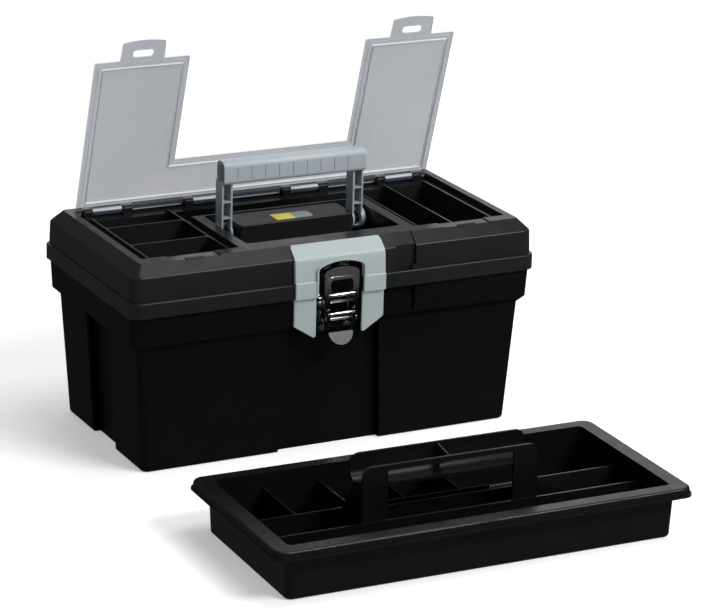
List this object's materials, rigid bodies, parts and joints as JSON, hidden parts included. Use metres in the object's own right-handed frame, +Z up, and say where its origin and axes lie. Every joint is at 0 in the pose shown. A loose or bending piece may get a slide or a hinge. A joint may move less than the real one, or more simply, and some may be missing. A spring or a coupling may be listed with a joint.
{
  "type": "toolbox with lift-out tray",
  "caption": "Black plastic toolbox with a hinged lid, top bins under a clear cover, folding carry handle, front draw latch and a lift-out tray with a grip.",
  "frame": {"origin": "centre of the tub's footprint on the floor", "axes": "+Z up, +X along the toolbox's length, -Y out of the front face with the latch; the tray stands on the same floor in front of it"},
  "size_m": [0.409, 0.5303, 0.3674],
  "materials": {
    "black_plastic": "fine satin grain",
    "lid_plastic": "coarser satin grain, worn bright along its edges",
    "tray_plastic": "satin, a little glossier than the tub",
    "grey_plastic": "satin",
    "trim_plastic": "satin",
    "clear_plastic": "translucent, lightly frosted",
    "latch_chrome": "bright plated pressed steel",
    "pin_steel": "drawn wire and rivet steel",
    "badge_yellow": "printed film",
    "badge_grey": "printed film"
  },
  "bodies": {
    "tub": {"tub": "black_plastic", "latch_trim_lower_left": "trim_plastic", "latch_trim_lower_right": "trim_plastic", "latch_base_plate": "latch_chrome", "latch_base_rivets": "pin_steel", "latch_lever_pin": "pin_steel", "lid_hinge_pin_left": "pin_steel", "lid_hinge_pin_right": "pin_steel"},
    "lid": {"lid": "lid_plastic", "latch_trim_upper": "trim_plastic", "latch_keeper": "latch_chrome", "latch_keeper_rivets": "pin_steel", "badge_left_half": "badge_yellow", "badge_right_half": "badge_grey"},
    "clear_cover": {"clear_cover": "clear_plastic"},
    "carry_handle": {"carry_handle": "grey_plastic"},
    "latch_lever": {"latch_lever": "latch_chrome", "latch_link_pin": "pin_steel"},
    "latch_link": {"latch_link": "latch_chrome"},
    "tray": {"tray": "tray_plastic"}
  },
  "joints": [
    {"name": "lid_hinge", "type": "hinge", "parent": "tub", "child": "lid", "pos_m": [0, 0.11, 0.15], "axis": [-1, 0, 0], "range_deg": [0, 105]},
    {"name": "cover_hinge", "type": "hinge", "parent": "lid", "child": "clear_cover", "pos_m": [0, 0.0755, 0.1956], "axis": [1, 0, 0], "range_deg": [-27, 72.6]},
    {"name": "handle_hinge", "type": "hinge", "parent": "lid", "child": "carry_handle", "pos_m": [0, 0.0017, 0.1852], "axis": [1, 0, 0], "range_deg": [0, 90]},
    {"name": "latch_lever_pivot", "type": "hinge", "parent": "tub", "child": "latch_lever", "pos_m": [0, -0.0995, 0.142], "axis": [-1, 0, 0], "range_deg": [0, 110]},
    {"name": "latch_link_pivot", "type": "hinge", "parent": "latch_lever", "child": "latch_link", "pos_m": [0, -0.1035, 0.127], "axis": [-1, 0, 0], "range_deg": [-130, 0]},
    {"name": "tray_lift", "type": "slide", "parent": "tub", "child": "tray", "axis": [0, 0, 1], "range_m": [0, 0.3]}
  ],
  "couplings": [
    {"joint": "latch_link_pivot", "follows": "latch_lever_pivot", "ratio": -1.15}
  ]
}
